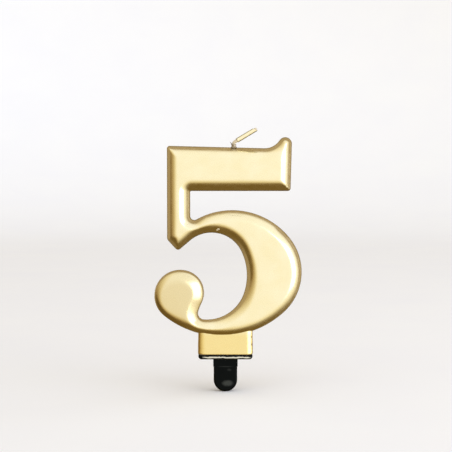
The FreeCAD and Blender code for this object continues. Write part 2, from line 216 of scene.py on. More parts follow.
def nearest(points, outline):
    """Distance of each point from the closed outline, and how far round the nearest place is."""
    along = np.roll(outline, -1, axis=0) - outline
    length2 = (along ** 2).sum(axis=1)
    gaps = np.empty(len(points))
    rounds = np.empty(len(points))
    for first in range(0, len(points), CHUNK):
        part = points[first:first + CHUNK, None, :] - outline[None, :, :]
        where = np.clip((part * along[None]).sum(axis=2) / length2[None], 0.0, 1.0)
        gap = ((part - where[:, :, None] * along[None]) ** 2).sum(axis=2)
        best = gap.argmin(axis=1)
        rounds[first:first + CHUNK] = best + where[np.arange(len(best)), best]
        gaps[first:first + CHUNK] = np.sqrt(gap.min(axis=1))
    return gaps, rounds


def distances(points, outline):
    return nearest(points, outline)[0]


def inside(points, outline):
    """True for each point within the closed outline, by counting crossings."""
    x0, z0 = outline[:, 0], outline[:, 1]
    x1, z1 = np.roll(x0, -1), np.roll(z0, -1)
    px, pz = points[:, 0:1], points[:, 1:2]
    straddles = (z0 > pz) != (z1 > pz)
    safe = np.where(z1 == z0, 1.0, z1 - z0)
    crossing = px < (x1 - x0) * (pz - z0) / safe + x0
    return (straddles & crossing).sum(axis=1) % 2 == 1


def ridge_points(outline, normals, deepest):
    """Where the inward normals first meet another side: the ridges and mitres of the relief."""
    low = np.zeros(len(outline))
    high = np.full(len(outline), deepest)
    slack = 0.01 * MM
    for _ in range(RIDGE_HALVINGS):
        middle = 0.5 * (low + high)
        reached = distances(outline + normals * middle[:, None], outline) >= middle - slack
        low = np.where(reached, middle, low)
        high = np.where(reached, high, middle)
    met = low < 0.97 * deepest
    return (outline + normals * low[:, None])[met]


def thin_out(points, least):
    """Drops points that share a small cell with an earlier one."""
    taken = set()
    kept = []
    for point in points:
        cell = (round(point[0] / least), round(point[1] / least))
        if cell not in taken:
            taken.add(cell)
            kept.append(point)
    return np.array(kept)


def smooth_step(value, low, high):
    """Zero below low, one above high, eased between."""
    share = np.clip((value - low) / (high - low), 0.0, 1.0)
    return share * share * (3.0 - 2.0 * share)


def band_width(plan):
    """Plan width of the side band next to each flat point."""
    above_bowl = smooth_step(plan[:, 1], 11.0 * MM, 22.0 * MM)
    off_ball = np.maximum(smooth_step(plan[:, 0], -9.0 * MM, -3.0 * MM),
                          smooth_step(plan[:, 1], 33.0 * MM, 36.0 * MM))
    off_top = np.maximum(smooth_step(plan[:, 1], 55.0 * MM, 58.0 * MM),
                         1.0 - smooth_step(plan[:, 1], 46.0 * MM, 49.0 * MM))
    off_top = np.maximum(off_top, 1.0 - smooth_step(plan[:, 0], -10.0 * MM, -7.0 * MM))
    share = np.minimum(np.minimum(above_bowl, off_ball), 0.25 + 0.75 * off_top)
    return BAND_NARROW + (BAND_WIDE - BAND_NARROW) * share


def ball_right(plan):
    """One round the right side of the ball, where its edge is softer, and zero elsewhere."""
    x, z = plan[:, 0] / MM, plan[:, 1] / MM
    share = smooth_step(x, -17.0, -12.0) * (1.0 - smooth_step(x, -6.0, -2.0))
    return share * smooth_step(z, 12.0, 18.0) * (1.0 - smooth_step(z, 29.0, 34.0))


def bevel_ends(plan, wide):
    """How far from the outline the bevel ends, next to each flat point."""
    off_ball = np.maximum(smooth_step(plan[:, 0], -21.5 * MM, -13.0 * MM),
                          smooth_step(plan[:, 1], 33.0 * MM, 36.0 * MM))
    return (BEVEL_SHORT + (BEVEL_PLAN - BEVEL_SHORT) * off_ball + BEVEL_EXTRA * wide
            + SOFT_EXTRA * ball_right(plan))


def wide_share(normals):
    """One where the outline faces down or right, zero elsewhere, eased along the outline."""
    facing = smooth_step(np.maximum(normals[:, 1], -normals[:, 0]), 0.3, 0.7)
    reach = round(WIDE_EASE / OUTLINE_SPACING)
    window = range(-reach, reach + 1)
    return sum(np.roll(facing, shift) for shift in window) / len(window)


def relief_plan(outline, normals):
    """Flat points and triangles that fill the outline, dense along its bevels."""
    band = band_width(outline)
    reach = bevel_ends(outline, wide_share(normals)) - band
    rings = []
    depths = [band * share for share in BAND_RINGS] + [band + reach * share for share in BEVEL_RINGS]
    for depth in depths:
        ring = outline + normals * depth[:, None]
        rings.append(ring[distances(ring, outline) > depth - 0.03 * MM])
    deepest = (BEVEL_PLAN + BEVEL_EXTRA) * 1.06
    ridges = thin_out(ridge_points(outline, normals, deepest), RIDGE_SPACING)
    low = outline.min(axis=0)
    high = outline.max(axis=0)
    rows = []
    for row, z in enumerate(np.arange(low[1], high[1], FACE_SPACING * ROW_STEP)):
        shift = FACE_SPACING * 0.5 * (row % 2)
        rows += [(x + shift, z) for x in np.arange(low[0], high[0], FACE_SPACING)]
    field = np.array(rows)
    field = field[inside(field, outline)]
    field = field[distances(field, outline) > deepest + 0.4 * MM]
    loose = thin_out(np.vstack([ridges] + rings + [field]), LEAST_SPACING)
    points = np.vstack([outline, loose])
    count = len(outline)
    edges = [(index, (index + 1) % count) for index in range(count)]
    flat = [Vector((float(x) / MM, float(z) / MM)) for x, z in points]
    found = delaunay_2d_cdt(flat, edges, [], 1, 1e-5, False)
    plan = np.array([(v.x * MM, v.y * MM) for v in found[0]])
    return plan, [tuple(face) for face in found[2]]


def bevel_drop(across):
    """Fall from the flat face, per length of plan, at each share of the way from the band."""
    shares = np.linspace(0.0, 1.0, 401)
    tilts = np.interp(shares, [stop[0] for stop in BEVEL_TILTS], [stop[1] for stop in BEVEL_TILTS])
    slopes = np.tan(np.radians(tilts))
    steps = 0.5 * (slopes[1:] + slopes[:-1]) * (shares[1] - shares[0])
    fallen = np.concatenate([[0.0], np.cumsum(steps)])
    return np.interp(across, shares, fallen[-1] - fallen)


def relief_height(plan, outline, normals):
    """Distance of the surface from the mid-plane over each flat point, and of the point from the rim."""
    depth, way = nearest(plan, outline)
    band = band_width(plan)
    shares = wide_share(normals)
    wide = np.interp(way, np.arange(len(outline) + 1), np.append(shares, shares[0]))
    reach = bevel_ends(plan, wide) - band
    across = np.clip((depth - band) / reach, 0.0, 1.0)
    flat = HALF_THICK - CROWN
    fall = reach * (1.0 - SOFT_FALL * ball_right(plan))
    side = (flat - bevel_drop(0.0) * fall) * depth / band
    bevel = flat - bevel_drop(across) * fall
    height = np.where(depth < band, side, bevel)
    over = np.clip(depth - BEVEL_PLAN * 0.75, 0.0, None)
    return height + CROWN * (1.0 - np.exp(-over / CROWN_REACH)), depth


def rounded_height(plan, outline, normals):
    """The same, averaged over a small circle above the side band, which softens the mitres."""
    height, depth = relief_height(plan, outline, normals)
    reach = np.clip(depth - band_width(plan), 0.0, MITRE_ROUND)[:, None]
    total = height.copy()
    for step in range(MITRE_SAMPLES):
        angle = math.tau * step / MITRE_SAMPLES
        aside = reach * np.array([[math.cos(angle), math.sin(angle)]])
        total += relief_height(plan + aside, outline, normals)[0]
    return total / (MITRE_SAMPLES + 1), depth


def mesh_object(name, vertices, faces):
    """A new object in the scene, from places and faces."""
    mesh = bpy.data.meshes.new(name)
    mesh.from_pydata(vertices, [], faces)
    mesh.update()
    piece = bpy.data.objects.new(name, mesh)
    SCENE.collection.objects.link(piece)
    return piece


def tidy_mesh(piece, merge=0.002 * MM):
    """Merges doubles, points the normals outwards and shades smooth."""
    work = bmesh.new()
    work.from_mesh(piece.data)
    bmesh.ops.remove_doubles(work, verts=work.verts, dist=merge)
    loose = [vertex for vertex in work.verts if not vertex.link_faces]
    bmesh.ops.delete(work, geom=loose, context="VERTS")
    bmesh.ops.recalc_face_normals(work, faces=work.faces)
    work.to_mesh(piece.data)
    work.free()
    piece.data.shade_smooth()


def apply_modifiers(piece):
    """Bakes the piece's modifiers into its mesh."""
    graph = bpy.context.evaluated_depsgraph_get()
    graph.update()
    mesh = bpy.data.meshes.new_from_object(piece.evaluated_get(graph))
    old = piece.data
    piece.modifiers.clear()
    piece.data = mesh
    bpy.data.meshes.remove(old)


def make_digit():
    """The 5 as one closed casting, alike on its front and back, with a seam at the mid-plane."""
    outline, normals = digit_outline(OUTLINE_SPACING)
    plan, faces = relief_plan(outline, normals)
    height, depth = rounded_height(plan, outline, normals)
    rim = depth < 0.005 * MM
    faces = [face for face in faces if not all(rim[index] for index in face)]
    height[rim] = 0.0
    vertices = []
    sides = {}
    for side in (-1, 1):
        for index, (x, z) in enumerate(plan):
            if rim[index] and side == 1:
                sides[(index, side)] = sides[(index, -1)]
                continue
            place = Vector((x / WAVE_SIZE, WAVE_SIDE * side, z / WAVE_SIZE))
            inward = min(1.0, depth[index] / BEVEL_PLAN)
            wave = 0.0 if rim[index] else WAVE * noise.noise(place) * inward
            sides[(index, side)] = len(vertices)
            vertices.append((x, side * (height[index] + wave), z))
    skin = []
    for side in (-1, 1):
        for face in faces:
            corners = [sides[(index, side)] for index in face]
            skin.append(corners if side < 0 else corners[::-1])
    piece = mesh_object("gold_lacquer", vertices, skin)
    tidy_mesh(piece)
    return piece


# ---------------- pedestal and wax
PEDESTAL_HALF = 9.9 * MM       # half width at the foot
PEDESTAL_TAPER = 0.1 * MM      # how much narrower each side is at the top
PEDESTAL_FOOT_DEEP = 3.45 * MM  # half depth at the foot
PEDESTAL_TOP_DEEP = 3.05 * MM  # half depth where it meets the bowl
PEDESTAL_ROUND = 2.6 * MM      # rounding of the upright corners
PEDESTAL_TOP = 11.4 * MM       # hidden in the bowl
PEDESTAL_RIM = [(0.0, 0.25), (0.07, 0.09), (0.2, 0.0)]     # lower rim: rise and inset in mm
PEDESTAL_ROW = 0.3 * MM        # between rings of points
PEDESTAL_WAVE = 0.05 * MM      # unevenness of its sides and of its lower rim
PLATE_TOP = 1.7 * MM           # top of the holder's plate
REST_GAP = 0.08 * MM           # the lacquer stops this far above the plate
WAX_GAP = 0.02 * MM            # and the wax this far
LACQUER = 0.3 * MM             # thickness of the coat
# places where the lacquer has chipped: x, y, z, radius in mm
CHIPS = [(9.6, -1.5, 5.2, 0.6), (9.75, -0.7, 3.1, 0.5), (9.5, -1.9, 8.0, 0.32),
         (-2.95, -3.0, 46.5, 0.45), (-2.5, -4.0, 46.95, 0.5)]
CHIP_DEEP = 0.28 * MM
CHIP_FLAT = 0.5                # in the colour, gaps from front to back count this much


def rounded_rectangle(half_x, half_y, radius, corner_steps, side_step):
    """Points round a rectangle with rounded corners, anticlockwise from its right side."""
    points = []
    centres = [(half_x - radius, half_y - radius, 0), (radius - half_x, half_y - radius, 90),
               (radius - half_x, radius - half_y, 180), (half_x - radius, radius - half_y, 270)]
    for x, y, start in centres:
        for step in range(corner_steps + 1):
            angle = math.radians(start + 90.0 * step / corner_steps)
            points.append((x + radius * math.cos(angle), y + radius * math.sin(angle)))
    full = []
    for index, (x, y) in enumerate(points):
        next_x, next_y = points[(index + 1) % len(points)]
        parts = max(1, round(math.hypot(next_x - x, next_y - y) / side_step))
        for part in range(parts):
            share = part / parts
            full.append((x + share * (next_x - x), y + share * (next_y - y)))
    return full


def chip_depth(place):
    """How far a chip takes the surface in at this place."""
    deepest = 0.0
    for x, y, z, radius in CHIPS:
        gap = (place - Vector((x, y, z)) * MM).length / (radius * MM)
        deepest = max(deepest, CHIP_DEEP * max(0.0, 1.0 - gap * gap * 0.8))
    return deepest


def loft(rings, hubs=None):
    """A closed mesh through rings of equal count; each end closes at a hub, or at its own middle."""
    count = len(rings[0])
    vertices = [place for ring in rings for place in ring]
    faces = []
    for level in range(len(rings) - 1):
        for index in range(count):
            following = (index + 1) % count
            a = level * count
            faces.append((a + index, a + following, a + count + following, a + count + index))
    for end, level in enumerate((0, len(rings) - 1)):
        middle = sum((Vector(place) for place in rings[level]), Vector()) / count
        vertices.append(hubs[end] if hubs else tuple(middle))
        hub = len(vertices) - 1
        for index in range(count):
            here, following = level * count + index, level * count + (index + 1) % count
            faces.append((hub, here, following) if end else (hub, following, here))
    return vertices, faces


def make_pedestal():
    """The block under the digit, tapered upwards, uneven along its lower rim and chipped."""
    foot = PLATE_TOP + REST_GAP
    levels = [(foot + rise * MM, inset * MM) for rise, inset in PEDESTAL_RIM]
    z = foot + 0.5 * MM
    while z < PEDESTAL_TOP:
        levels.append((z, 0.0))
        z += PEDESTAL_ROW
    rings = []
    for z, inset in levels:
        share = (z - foot) / (PEDESTAL_TOP - foot)
        half = PEDESTAL_HALF - PEDESTAL_TAPER * share - inset
        deep = PEDESTAL_FOOT_DEEP + (PEDESTAL_TOP_DEEP - PEDESTAL_FOOT_DEEP) * share - inset
        ring = rounded_rectangle(half, deep, PEDESTAL_ROUND - 0.5 * inset, 10, 0.6 * MM)
        places = []
        for x, y in ring:
            place = Vector((x, y, z))
            inward = Vector((-x, -y * 2.0, 0.0)).normalized()
            wave = PEDESTAL_WAVE * noise.noise(place / (3.0 * MM))
            if z <= levels[len(PEDESTAL_RIM) - 1][0]:
                place.z += PEDESTAL_WAVE * noise.noise(Vector((x, y, 0.0)) / (1.6 * MM))
            places.append(tuple(place + inward * (chip_depth(place) + wave)))
        rings.append(places)
    piece = mesh_object("pedestal", *loft(rings))
    tidy_mesh(piece)
    return piece


def unite(piece, other):
    """Joins two closed meshes into one."""
    union = piece.modifiers.new("union", "BOOLEAN")
    union.operation = "UNION"
    union.solver = "MANIFOLD"
    union.object = other
    apply_modifiers(piece)
    bpy.data.objects.remove(other)
    work = bmesh.new()
    work.from_mesh(piece.data)
    bmesh.ops.dissolve_degenerate(work, edges=work.edges, dist=0.01 * MM)
    bmesh.ops.triangulate(work, faces=work.faces)
    work.to_mesh(piece.data)
    work.free()
    piece.data.shade_smooth()


def make_wax(skin):
    """The casting inside the lacquer: the same form, smaller all round, flush at its foot."""
    piece = skin.copy()
    piece.data = skin.data.copy()
    piece.name = "wax_casting"
    SCENE.collection.objects.link(piece)
    normals = [vertex.normal.copy() for vertex in piece.data.vertices]
    sole = PLATE_TOP + WAX_GAP
    for vertex, normal in zip(piece.data.vertices, normals):
        vertex.co -= normal * LACQUER
        if normal.z < -0.9 and vertex.co.z < PLATE_TOP + LACQUER + 0.2 * MM + REST_GAP:
            vertex.co.z = sole
    piece.data.update()
    return piece


# ---------------- the wick and its lacquer
WICK_RADIUS = 0.6 * MM
WICK_RISE = 31.0               # degrees above the horizontal
WICK_FREE = 9.4 * MM
WICK_BURIED = 3.0 * MM         # how far the modelled braid reaches into the bar
WICK_BEND = 0.75 * MM          # radius of the kink
WICK_CORE = 0.62               # share of the wick's radius that its core fills
STRANDS = 8
STRAND_RADIUS = 0.19 * MM
STRAND_LIFT = 0.05 * MM        # how far a strand rises over and sinks under the others
BRAID_PITCH = 2.4 * MM
FIBRES = 16                    # loose fibres
TIP_FIBRES = 11                # those of them at the cut end
FIBRE_RADIUS = 0.032 * MM
SLEEVE_START = 1.4 * MM        # from the kink, along the free wick
SLEEVE_SHORT = 0.45 * MM       # how far it stops before the wick's end
SLEEVE_RADIUS = 0.8 * MM
SLEEVE_WALL = 0.11 * MM
SLEEVE_PRINT = 0.016 * MM      # how far the strands print through
SLEEVE_LUMPS = 0.035 * MM
TIP_SLANT = 35.0               # degrees between the sleeve's end and a square cut
COLLAR_HIGH = 0.95 * MM        # mean height of its torn rim above the bar
COLLAR_SUNK = 0.12 * MM        # how far its foot reaches into the bar
COLLAR_FLARE = 0.34 * MM       # how much wider it is at the foot
FLAKE_HALF = 34.0              # half width of the flake in degrees
FLAKE_FOOT = 0.7 * MM          # height at which the flake starts to bend
FLAKE_OUT = 0.55 * MM          # how far its tip bends outwards
FREE_WAY = Vector((math.cos(math.radians(WICK_RISE)), 0.0, math.sin(math.radians(WICK_RISE))))
STUB_FOOT = BAR_TOP - (KINK.x - LEFT_X) * math.tan(math.radians(BAR_SLOPE))


def wick_axis(step):
    """Points up the stub, round the kink and along the free wick."""
    turn = math.radians(90.0 - WICK_RISE)
    cut = WICK_BEND * math.tan(turn / 2.0)
    points = []
    z = STUB_FOOT - WICK_BURIED
    while z < KINK.z - cut:
        points.append(Vector((KINK.x, 0.0, z)))
        z += step
    bend_steps = max(3, math.ceil(turn * WICK_BEND / step))
    for index in range(bend_steps + 1):
        angle = turn * index / bend_steps
        points.append(Vector((KINK.x + WICK_BEND * (1.0 - math.cos(angle)), 0.0,
                              KINK.z - cut + WICK_BEND * math.sin(angle))))
    run = step
    while run < WICK_FREE - cut:
        points.append(KINK + FREE_WAY * (cut + run))
        run += step
    return points


def ahead_at(points, index):
    """The direction of the path at this point."""
    return (points[min(index + 1, len(points) - 1)] - points[max(index - 1, 0)]).normalized()


def tube(points, radius, sides):
    """A closed round tube through the points."""
    rings = []
    previous = None
    for index, point in enumerate(points):
        ahead = ahead_at(points, index)
        first = previous if previous is not None else ahead.orthogonal().normalized()
        first = (first - ahead * first.dot(ahead)).normalized()
        second = ahead.cross(first)
        previous = first
        rings.append([tuple(point + (first * math.cos(a) + second * math.sin(a)) * radius)
                      for a in [math.tau * side / sides for side in range(sides)]])
    return loft(rings)


def add_part(vertices, faces, part):
    """Adds a part's places and faces to the lists."""
    base = len(vertices)
    vertices += part[0]
    faces += [tuple(base + index for index in face) for face in part[1]]


def make_wick():
    """A round braid of cotton strands with a few loose fibres at its cut end and its kink."""
    axis = wick_axis(0.1 * MM)
    across = Vector((0.0, 1.0, 0.0))
    ups = [across.cross(ahead_at(axis, index)) for index in range(len(axis))]
    lengths = [0.0]
    for index in range(1, len(axis)):
        lengths.append(lengths[-1] + (axis[index] - axis[index - 1]).length)
    vertices = []
    faces = []
    add_part(vertices, faces, tube(axis, WICK_CORE * WICK_RADIUS, 14))
    mean = WICK_RADIUS - STRAND_RADIUS
    for strand in range(STRANDS):
        hand = 1.0 if strand % 2 else -1.0
        start = math.tau * strand / STRANDS
        points = []
        for point, up, run in zip(axis, ups, lengths):
            angle = start + hand * math.tau * run / BRAID_PITCH
            turns = STRANDS / 2.0 * math.tau * run / BRAID_PITCH
            out = mean + STRAND_LIFT * math.sin(turns + strand * math.pi)
            points.append(point + (across * math.cos(angle) + up * math.sin(angle)) * out)
        add_part(vertices, faces, tube(points, STRAND_RADIUS, 8))
    tip = axis[-1]
    along = (axis[-1] - axis[-2]).normalized()
    kink = axis[min(range(len(axis)), key=lambda index: (axis[index] - KINK).length)]
    for fibre in range(FIBRES):
        seed = Vector((fibre * 7.31, 2.7, 5.1))
        swing = noise.noise_vector(seed)
        at_tip = fibre < TIP_FIBRES
        root = tip - along * 0.3 * MM if at_tip else kink + swing * 0.3 * MM
        root = root + noise.noise_vector(seed * 1.7) * 0.55 * MM
        heading = (along + swing * 0.9).normalized() if at_tip else swing.normalized()
        length = (0.5 + 0.35 * abs(noise.noise(seed * 2.3))) * MM
        bend = noise.noise_vector(seed * 3.1)
        points = [root + heading * length * share + bend * 0.35 * length * share * share
                  for share in [step / 6.0 for step in range(7)]]
        add_part(vertices, faces, tube(points, FIBRE_RADIUS, 5))
    piece = mesh_object("cotton_wick", vertices, faces)
    tidy_mesh(piece, 0.0001 * MM)
    return piece


def wall_tube(name, place_at, low_at, high_at, radius_at, wall, around, steps):
    """A thin closed tube wall whose two rims and radius follow functions of the angle."""
    rings = []
    for skin in (0.0, wall):
        for step in range(steps + 1):
            share = step / steps if skin == 0.0 else 1.0 - step / steps
            ring = []
            for index in range(around):
                angle = math.tau * index / around
                run = low_at(angle) + share * (high_at(angle) - low_at(angle))
                ring.append(tuple(place_at(angle, run, radius_at(angle, run) - skin)))
            rings.append(ring)
    vertices = [place for ring in rings for place in ring]
    faces = []
    for level in range(len(rings)):
        below = level * around
        above = ((level + 1) % len(rings)) * around
        for index in range(around):
            following = (index + 1) % around
            faces.append((below + index, below + following, above + following, above + index))
    piece = mesh_object(name, vertices, faces)
    tidy_mesh(piece, 0.0001 * MM)
    return piece


def ragged(angle, seed, size):
    """A rim's unevenness at this angle, the same after a full turn."""
    place = Vector((math.cos(angle) * 1.7, math.sin(angle) * 1.7, seed))
    fine = Vector((math.cos(angle) * 5.0, math.sin(angle) * 5.0, seed + 9.0))
    return size * (noise.noise(place) + 0.5 * noise.noise(fine))


def make_sleeve():
    """The lacquer left on the free wick, ragged at its root and cut on a slant at its tip."""
    up = Vector((-FREE_WAY.z, 0.0, FREE_WAY.x))
    across = Vector((0.0, 1.0, 0.0))

    def place_at(angle, run, radius):
        return KINK + FREE_WAY * run + (up * math.cos(angle) + across * math.sin(angle)) * radius

    def low_at(angle):
        return SLEEVE_START + ragged(angle, 1.0, 0.3 * MM)

    def high_at(angle):
        slant = math.tan(math.radians(TIP_SLANT)) * SLEEVE_RADIUS
        return WICK_FREE - SLEEVE_SHORT - slant * math.cos(angle) + ragged(angle, 4.0, 0.07 * MM)

    def radius_at(angle, run):
        twist = math.tau * run / BRAID_PITCH
        print_through = math.cos(4.0 * (angle + twist)) + math.cos(4.0 * (angle - twist))
        lump = noise.noise(Vector((math.cos(angle), math.sin(angle), run / (1.3 * MM))))
        return SLEEVE_RADIUS + SLEEVE_PRINT * print_through + SLEEVE_LUMPS * lump

    return wall_tube("lacquer_sleeve", place_at, low_at, high_at, radius_at, SLEEVE_WALL, 40, 60)


def make_collar():
    """The cracked lacquer round the stub: a flared foot, a torn rim and one flake bent outwards."""
    flake_high = KINK.z + 0.15 * MM - STUB_FOOT

    def flake(angle):
        off = (angle - math.pi) / math.radians(FLAKE_HALF)
        return math.exp(-off * off * off * off)

    def place_at(angle, run, radius):
        return Vector((KINK.x + radius * math.cos(angle), radius * math.sin(angle), STUB_FOOT + run))

    def low_at(angle):
        return -COLLAR_SUNK

    def high_at(angle):
        torn = COLLAR_HIGH + ragged(angle, 2.0, 0.5 * MM)
        return torn + (flake_high - torn) * flake(angle)

    def radius_at(angle, run):
        flare = COLLAR_FLARE * math.exp(-max(run, 0.0) / (0.16 * MM))
        peel = max(0.0, run - FLAKE_FOOT) / (flake_high - FLAKE_FOOT)
        return SLEEVE_RADIUS + 0.02 * MM + flare + FLAKE_OUT * flake(angle) * peel ** 1.6

    return wall_tube("lacquer_collar", place_at, low_at, high_at, radius_at, SLEEVE_WALL, 56, 16)


# ---------------- materials
class Nodes:
    """Short calls that add nodes to a node tree."""

    def __init__(self, tree):
        self.tree = tree

    def plug(self, socket, value):
        """Links another node's output to the socket, or sets a plain value."""
        if isinstance(value, bpy.types.NodeSocket):
            self.tree.links.new(value, socket)
        else:
            socket.default_value = value

    def add(self, kind, inputs=None, **settings):
        node = self.tree.nodes.new(kind)
        for name, value in settings.items():
            setattr(node, name, value)
        for name, value in (inputs or {}).items():
            self.plug(node.inputs[name], value)
        return node

    def span(self, value, low, high, to_low=0.0, to_high=1.0, **settings):
        """Maps the value from one range to another and clamps it."""
        node = self.add("ShaderNodeMapRange", {"Value": value, "From Min": low, "From Max": high,
                                               "To Min": to_low, "To Max": to_high}, **settings)
        return node.outputs["Result"]

    def math(self, operation, first, second=0.0):
        return self.add("ShaderNodeMath", {0: first, 1: second}, operation=operation).outputs["Value"]

    def vector(self, operation, first, second):
        """Vector maths; a dot product or a distance comes out as a plain value."""
        node = self.add("ShaderNodeVectorMath", {0: first, 1: second}, operation=operation)
        return node.outputs["Value" if operation in ("DOT_PRODUCT", "DISTANCE") else "Vector"]

    def mix(self, share, first, second):
        """A colour between two colours."""
        node = self.add("ShaderNodeMix", data_type="RGBA")
        for index, value in ((0, share), (6, first), (7, second)):
            self.plug(node.inputs[index], value)
        return node.outputs[2]


class Shader(Nodes):
    """A material with one Principled shader."""

    def __init__(self, name, **settings):
        self.material = bpy.data.materials.new(name)
        self.material.use_nodes = True
        super().__init__(self.material.node_tree)
        self.surface = next(node for node in self.tree.nodes if node.type == "BSDF_PRINCIPLED")
        for socket, value in settings.items():
            self.surface.inputs[socket.replace("_", " ")].default_value = value
        self.place = self.add("ShaderNodeTexCoord").outputs["Object"]

    def set(self, socket, value):
        self.tree.links.new(value, self.surface.inputs[socket])

    def axes(self):
        """The place on the object as X, Y and Z."""
        return self.add("ShaderNodeSeparateXYZ", {0: self.place}).outputs

    def noise(self, size, detail=3.0, rough=0.55, stretch=None, distort=0.0):
        """Soft noise whose blotches are about this many metres across."""
        place = self.place
        if stretch:
            place = self.add("ShaderNodeMapping", {"Vector": place, "Scale": stretch}).outputs["Vector"]
        node = self.add("ShaderNodeTexNoise", {"Vector": place, "Scale": 1.0 / size, "Detail": detail,
                                               "Roughness": rough, "Distortion": distort})
        return node.outputs["Fac"]

    def bump(self, height, distance, strength, before=None):
        inputs = {"Height": height, "Distance": distance, "Strength": strength}
        if before:
            inputs["Normal"] = before
        return self.add("ShaderNodeBump", inputs).outputs["Normal"]

    def dress(self, piece):
        piece.data.materials.clear()
        piece.data.materials.append(self.material)


GOLD_LIGHT = (0.97, 0.885, 0.615, 1.0)
GOLD_DEEP = (0.945, 0.85, 0.555, 1.0)
GOLD_LOW_PAINTED_REFLECTION = (0.90, 0.73, 0.335, 1.0)    # painted warm reflection: deeper, more saturated gold low on the pedestal
GOLD_BALL_PAINTED_SHADE = (0.80, 0.68, 0.40, 1.0)      # painted shade: a darker patch on the ball
GOLD_EDGE_PAINTED_SHADE = (0.26, 0.22, 0.09, 1.0)      # painted shade along the top and bottom of the wick's lacquer
GOLD_STUB_PAINTED_SHADE = (0.36, 0.30, 0.22, 1.0)      # painted shade round the stub
LOW_REFLECTION_FROM, LOW_REFLECTION_FULL = 11.5 * MM, 8.5 * MM     # heights between which the painted warm reflection comes in
BALL_SHADE_PLACE = (-17.0 * MM, 0.0, 21.0 * MM)        # the middle of the ball
BALL_SHADE_FROM, BALL_SHADE_FULL = 12.5 * MM, 8.5 * MM       # distances from it
EDGE_SHADE_FROM, EDGE_SHADE_FULL = 0.72 * MM, 0.56 * MM      # distances from the candle's middle plane, over which the painted edge shade comes in
CHIP_SHAKE = 0.55 * MM         # how ragged a chip's rim is
WAX_CREAM = (0.90, 0.83, 0.68, 1.0)
WAX_PALE = (0.94, 0.89, 0.77, 1.0)
WAX_PAINTED_CHIP_SHADOW = (0.24, 0.15, 0.07, 1.0)     # painted shadow in the chips low on the candle
CHIP_SHADOW_FROM, CHIP_SHADOW_FULL = 20.0 * MM, 15.0 * MM
COTTON_DARK = (0.52, 0.43, 0.30, 1.0)
COTTON_LIGHT = (0.84, 0.77, 0.63, 1.0)
COTTON_SOAKED = (0.60, 0.50, 0.33, 1.0)
PLASTIC_DARK = (0.001, 0.002, 0.002, 1.0)
PLASTIC_LIGHT = (0.003, 0.004, 0.004, 1.0)
DUST = (0.08, 0.08, 0.08, 1.0)
PLATE_PAINTED_HIGHLIGHT = (0.72, 0.71, 0.63, 1.0)          # painted highlight along the plate's front rim
# grey of the painted highlights on the spike
SPIKE_PAINTED_HIGHLIGHT = (0.16, 0.175, 0.17, 1.0)
# painted highlights on the spike, two grey ovals and a thin line: x, z, half width and half height in mm,
# strength
SPIKE_HIGHLIGHT_PATCHES = [(0.8, -8.7, 2.2, 1.15, 0.24), (1.4, -3.9, 0.9, 0.5, 0.08), (0.0, -2.7, 3.0, 0.16, 0.12)]
BACKDROP_COOL = (0.9, 0.915, 0.995, 1.0)
BACKDROP_PALE = (0.915, 0.93, 0.999, 1.0)


def chip_mask(shader):
    """Zero where bare wax shows in a ragged chip, one on sound lacquer."""
    sound = None
    for x, y, z, radius in CHIPS:
        warp = shader.add("ShaderNodeTexNoise", {"Vector": shader.place, "Scale": 1.0 / (0.45 * MM)})
        shaken = shader.vector("SUBTRACT", warp.outputs["Color"], (0.5, 0.5, 0.5))
        scaled = shader.add("ShaderNodeVectorMath", {0: shaken, "Scale": CHIP_SHAKE}, operation="SCALE")
        moved = shader.vector("ADD", shader.place, scaled.outputs["Vector"])
        flat = shader.vector("MULTIPLY", moved, (1.0, CHIP_FLAT, 1.0))
        gap = shader.vector("DISTANCE", flat, (x * MM, CHIP_FLAT * y * MM, z * MM))
        there = shader.span(gap, radius * 0.75 * MM, radius * 0.95 * MM)
        sound = shader.math("MINIMUM", sound, there) if sound else there
    return sound


def gold_material():
    """Hot, bright metallic lacquer with faint mottling and, where it chipped, bare wax; with painted shade
    on the ball, a painted warm reflection low down and painted shadow in the low chips.
    """
    shader = Shader("gold_lacquer", Metallic=1.0, Coat_Weight=0.15, Coat_Roughness=0.12)
    mottle = shader.span(shader.noise(7.0 * MM, 2.0), 0.35, 0.65)
    colour = shader.mix(mottle, GOLD_DEEP, GOLD_LIGHT)
    height = shader.axes()["Z"]
    # painted warm reflection: the gold turns deeper and more saturated towards the bottom
    colour = shader.mix(shader.span(height, LOW_REFLECTION_FROM, LOW_REFLECTION_FULL), colour, GOLD_LOW_PAINTED_REFLECTION)
    # painted shade: the ball's face is darkened round its middle
    from_ball = shader.vector("DISTANCE", shader.place, BALL_SHADE_PLACE)
    colour = shader.mix(shader.span(from_ball, BALL_SHADE_FROM, BALL_SHADE_FULL), colour, GOLD_BALL_PAINTED_SHADE)
    sound = chip_mask(shader)
    # bare wax in the chips, turned brown by painted shadow in those low on the candle
    bare_wax_and_shadow = shader.mix(shader.span(height, CHIP_SHADOW_FROM, CHIP_SHADOW_FULL), WAX_CREAM, WAX_PAINTED_CHIP_SHADOW)
    rough_lacquer = shader.span(shader.noise(2.6 * MM, 2.0), 0.3, 0.7, 0.2, 0.31)
    rough_wax = shader.span(sound, 0.0, 1.0, 0.55, 0.0)
    shader.set("Metallic", sound)
    shader.set("Base Color", shader.mix(sound, bare_wax_and_shadow, colour))
    shader.set("Roughness", shader.math("MAXIMUM", rough_wax, rough_lacquer))
    shader.set("Normal", shader.bump(shader.noise(1.4 * MM, 1.0), 0.02 * MM, 0.12))
    return shader


